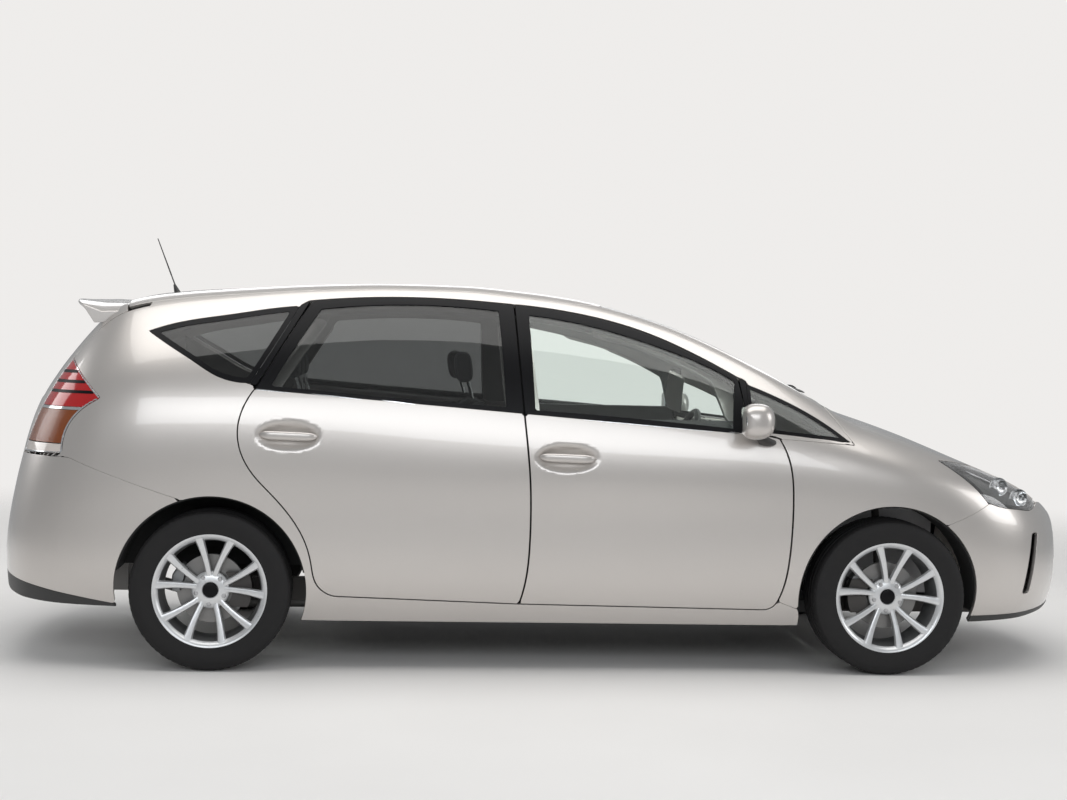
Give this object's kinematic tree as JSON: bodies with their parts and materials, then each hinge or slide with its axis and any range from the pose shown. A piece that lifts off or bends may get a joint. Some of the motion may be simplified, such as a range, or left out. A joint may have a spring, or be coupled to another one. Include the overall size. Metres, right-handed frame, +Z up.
{
  "type": "hybrid hatchback car",
  "caption": "Tall estate-style hybrid hatchback with opening doors, bonnet and tailgate, steered front wheels and a full cabin.",
  "frame": {"origin": "on the ground, under the middle of the car's length and width", "axes": "+X towards the front of the car, +Y to its left, +Z up"},
  "size_m": [4.644, 2.104, 1.7691],
  "materials": {
    "body_paint": "satin",
    "window_glass": "gloss",
    "tinted_glass": "gloss",
    "tyre_rubber": "matt",
    "alloy": "satin",
    "black_plastic": "matt",
    "gloss_black": "gloss",
    "lamp_clear": "gloss",
    "lamp_red": "gloss",
    "underbody": "matt",
    "cast_metal": "matt",
    "engine_metal": "matt",
    "seat_fabric": "matt",
    "dash_plastic": "matt"
  },
  "bodies": {
    "body": {"floor_pan": "underbody", "body_sides": "body_paint", "roof_panel": "body_paint", "front_fenders": "body_paint", "front_bumper": "body_paint", "rear_bumper": "body_paint", "grille": "gloss_black", "headlamps": "lamp_clear", "tail_lamps": "lamp_red", "windscreen": "window_glass", "cowl": "black_plastic", "quarter_windows": "tinted_glass", "dashboard": "dash_plastic", "front_seats": "seat_fabric", "rear_seats": "seat_fabric", "engine": "engine_metal", "exhaust": "cast_metal", "rear_axle": "cast_metal", "front_subframe": "underbody", "wheel_arch_liners": "black_plastic", "wipers": "black_plastic", "antenna": "black_plastic"},
    "bonnet_lid": {"bonnet": "body_paint"},
    "tailgate_lid": {"tailgate": "body_paint", "tailgate_glass": "tinted_glass", "rear_spoiler": "body_paint"},
    "right_steering": {"front_right_knuckle": "cast_metal"},
    "left_steering": {"front_left_knuckle": "cast_metal"},
    "steering_wheel_body": {"steering_wheel": "dash_plastic"},
    "fuel_flap_lid": {"fuel_flap": "body_paint"},
    "front_right_door_body": {"front_right_door": "body_paint", "front_right_door_glass": "window_glass", "right_door_mirror": "body_paint"},
    "rear_right_door_body": {"rear_right_door": "body_paint", "rear_right_door_glass": "tinted_glass"},
    "front_right_wheel_body": {"front_right_wheel": "alloy", "front_right_tyre": "tyre_rubber"},
    "rear_right_wheel_body": {"rear_right_wheel": "alloy", "rear_right_tyre": "tyre_rubber"},
    "front_left_door_body": {"front_left_door": "body_paint", "front_left_door_glass": "window_glass", "left_door_mirror": "body_paint"},
    "rear_left_door_body": {"rear_left_door": "body_paint", "rear_left_door_glass": "tinted_glass"},
    "front_left_wheel_body": {"front_left_wheel": "alloy", "front_left_tyre": "tyre_rubber"},
    "rear_left_wheel_body": {"rear_left_wheel": "alloy", "rear_left_tyre": "tyre_rubber"}
  },
  "joints": [
    {"name": "front_right_wheel_spin", "type": "hinge", "parent": "right_steering", "child": "front_right_wheel_body", "pos_m": [1.372, -0.765, 0.3234], "axis": [0, 1, 0], "continuous": true},
    {"name": "front_right_door_swing", "type": "hinge", "parent": "body", "child": "front_right_door_body", "pos_m": [0.897, -0.87, 0.7], "axis": [0, 0, 1], "range_deg": [0, 68]},
    {"name": "rear_right_wheel_spin", "type": "hinge", "parent": "body", "child": "rear_right_wheel_body", "pos_m": [-1.408, -0.765, 0.3234], "axis": [0, 1, 0], "continuous": true},
    {"name": "rear_right_door_swing", "type": "hinge", "parent": "body", "child": "rear_right_door_body", "pos_m": [-0.182, -0.87, 0.7], "axis": [0, 0, 1], "range_deg": [0, 68]},
    {"name": "steer_right", "type": "hinge", "parent": "body", "child": "right_steering", "pos_m": [1.372, -0.697, 0.3234], "axis": [0, 0.2419, 0.9703], "range_deg": [-36, 36]},
    {"name": "front_left_wheel_spin", "type": "hinge", "parent": "left_steering", "child": "front_left_wheel_body", "pos_m": [1.372, 0.765, 0.3234], "axis": [0, 1, 0], "continuous": true},
    {"name": "front_left_door_swing", "type": "hinge", "parent": "body", "child": "front_left_door_body", "pos_m": [0.897, 0.87, 0.7], "axis": [0, 0, -1], "range_deg": [0, 68]},
    {"name": "rear_left_wheel_spin", "type": "hinge", "parent": "body", "child": "rear_left_wheel_body", "pos_m": [-1.408, 0.765, 0.3234], "axis": [0, 1, 0], "continuous": true},
    {"name": "rear_left_door_swing", "type": "hinge", "parent": "body", "child": "rear_left_door_body", "pos_m": [-0.182, 0.87, 0.7], "axis": [0, 0, -1], "range_deg": [0, 68]},
    {"name": "steer_left", "type": "hinge", "parent": "body", "child": "left_steering", "pos_m": [1.372, 0.697, 0.3234], "axis": [0, -0.2419, 0.9703], "range_deg": [-36, 36]},
    {"name": "steering_wheel_turn", "type": "hinge", "parent": "body", "child": "steering_wheel_body", "pos_m": [0.56, -0.37, 0.905], "axis": [-0.9063, 0, 0.4226], "range_deg": [-540, 540]},
    {"name": "bonnet_lift", "type": "hinge", "parent": "body", "child": "bonnet_lid", "pos_m": [1.098, 0, 1.096], "axis": [0, -1, 0], "range_deg": [0, 50]},
    {"name": "tailgate_lift", "type": "hinge", "parent": "body", "child": "tailgate_lid", "pos_m": [-1.796, 0, 1.5], "axis": [0, 1, 0], "range_deg": [0, 75]},
    {"name": "fuel_flap_swing", "type": "hinge", "parent": "body", "child": "fuel_flap_lid", "pos_m": [-1.4855, 0.88865, 0.93], "axis": [0, 0, -1], "range_deg": [0, 95]}
  ],
  "couplings": [
    {"joint": "steer_left", "follows": "steer_right", "ratio": 1},
    {"joint": "steering_wheel_turn", "follows": "steer_right", "ratio": 15}
  ]
}
